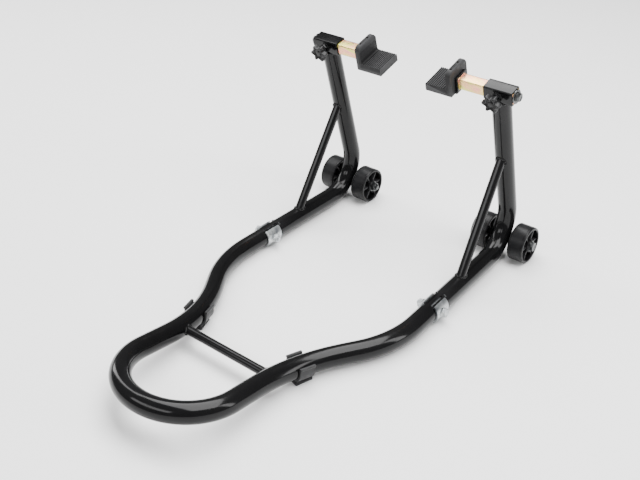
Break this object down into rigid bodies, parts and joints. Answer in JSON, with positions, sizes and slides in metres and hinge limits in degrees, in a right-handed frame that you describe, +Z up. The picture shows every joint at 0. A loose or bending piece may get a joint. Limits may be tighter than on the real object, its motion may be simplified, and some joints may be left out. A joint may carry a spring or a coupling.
{
  "type": "paddock stand",
  "caption": "Rear motorcycle paddock stand: low U tube handle, two wheeled legs, and rubber-lined L pads on sliding square tubes clamped by knobs.",
  "frame": {"origin": "on the floor under the middle of the stand's outline", "axes": "+Z up, +Y from the handle towards the wheels, X across the stand, which is its symmetry axis"},
  "size_m": [0.4544, 0.7579, 0.3691],
  "materials": {
    "black_paint": "gloss",
    "silver_zinc": "satin",
    "yellow_zinc": "satin",
    "pad_rubber": "matt",
    "foot_rubber": "matt",
    "wheel_plastic": "satin",
    "knob_plastic": "satin"
  },
  "bodies": {
    "frame": {"handle_bar": "black_paint", "handle_crossbar": "black_paint", "foot_saddle_right": "foot_rubber", "foot_saddle_left": "foot_rubber", "joint_spigot_right": "silver_zinc", "joint_spigot_left": "silver_zinc", "joint_saddle_right_outer": "silver_zinc", "joint_saddle_left_outer": "silver_zinc", "joint_saddle_right_inner": "silver_zinc", "joint_saddle_left_inner": "silver_zinc", "joint_bolt_right": "silver_zinc", "joint_bolt_left": "silver_zinc", "joint_nut_right": "silver_zinc", "joint_nut_left": "silver_zinc", "side_leg_right": "black_paint", "side_leg_left": "black_paint", "leg_brace_right": "black_paint", "leg_brace_left": "black_paint", "axle_boss_right": "black_paint", "axle_boss_left": "black_paint", "axle_washer_right_outer": "silver_zinc", "axle_washer_left_outer": "silver_zinc", "axle_washer_right_inner": "silver_zinc", "axle_washer_left_inner": "silver_zinc", "axle_bolt_right": "silver_zinc", "axle_bolt_left": "silver_zinc", "axle_nut_right": "silver_zinc", "axle_nut_left": "silver_zinc", "head_sleeve_right": "black_paint", "head_sleeve_left": "black_paint", "knob_boss_right": "black_paint", "knob_boss_left": "black_paint"},
    "right_outer_wheel": {"wheel_right_outer": "wheel_plastic", "wheel_bush_right_outer": "silver_zinc"},
    "right_inner_wheel": {"wheel_right_inner": "wheel_plastic", "wheel_bush_right_inner": "silver_zinc"},
    "right_pad": {"slide_tube_right": "yellow_zinc", "slide_plug_right": "silver_zinc", "stop_washer_right": "silver_zinc", "stop_bolt_right": "silver_zinc", "pad_plate_right": "black_paint", "pad_rubber_right": "pad_rubber"},
    "right_knob_stud": {"knob_stud_right": "silver_zinc"},
    "right_knob": {"knob_right": "knob_plastic"},
    "left_outer_wheel": {"wheel_left_outer": "wheel_plastic", "wheel_bush_left_outer": "silver_zinc"},
    "left_inner_wheel": {"wheel_left_inner": "wheel_plastic", "wheel_bush_left_inner": "silver_zinc"},
    "left_pad": {"slide_tube_left": "yellow_zinc", "slide_plug_left": "silver_zinc", "stop_washer_left": "silver_zinc", "stop_bolt_left": "silver_zinc", "pad_plate_left": "black_paint", "pad_rubber_left": "pad_rubber"},
    "left_knob_stud": {"knob_stud_left": "silver_zinc"},
    "left_knob": {"knob_left": "knob_plastic"}
  },
  "joints": [
    {"name": "right_outer_wheel_spin", "type": "hinge", "parent": "frame", "child": "right_outer_wheel", "pos_m": [0.2056, 0.346, 0.033], "axis": [1, 0, 0], "continuous": true},
    {"name": "right_inner_wheel_spin", "type": "hinge", "parent": "frame", "child": "right_inner_wheel", "pos_m": [0.1324, 0.346, 0.033], "axis": [1, 0, 0], "continuous": true},
    {"name": "right_pad_slide", "type": "slide", "parent": "frame", "child": "right_pad", "axis": [1, 0, 0], "range_m": [0, 0.044]},
    {"name": "right_knob_travel", "type": "slide", "parent": "frame", "child": "right_knob_stud", "axis": [0, -0.9604, -0.2785], "range_m": [0, 0.0036]},
    {"name": "right_knob_turn", "type": "hinge", "parent": "right_knob_stud", "child": "right_knob", "pos_m": [0.17124, 0.2745, 0.33552], "axis": [0, -0.9604, -0.2785], "range_deg": [0, 1036.8]},
    {"name": "left_outer_wheel_spin", "type": "hinge", "parent": "frame", "child": "left_outer_wheel", "pos_m": [-0.2056, 0.346, 0.033], "axis": [1, 0, 0], "continuous": true},
    {"name": "left_inner_wheel_spin", "type": "hinge", "parent": "frame", "child": "left_inner_wheel", "pos_m": [-0.1324, 0.346, 0.033], "axis": [1, 0, 0], "continuous": true},
    {"name": "left_pad_slide", "type": "slide", "parent": "frame", "child": "left_pad", "axis": [-1, 0, 0], "range_m": [0, 0.044]},
    {"name": "left_knob_travel", "type": "slide", "parent": "frame", "child": "left_knob_stud", "axis": [0, -0.9604, -0.2785], "range_m": [0, 0.0036]},
    {"name": "left_knob_turn", "type": "hinge", "parent": "left_knob_stud", "child": "left_knob", "pos_m": [-0.17124, 0.2745, 0.33552], "axis": [0, -0.9604, -0.2785], "range_deg": [0, 1036.8]}
  ],
  "couplings": [
    {"joint": "right_knob_turn", "follows": "right_knob_travel", "rad_per_m": 5026.5},
    {"joint": "left_knob_turn", "follows": "left_knob_travel", "rad_per_m": 5026.5}
  ]
}
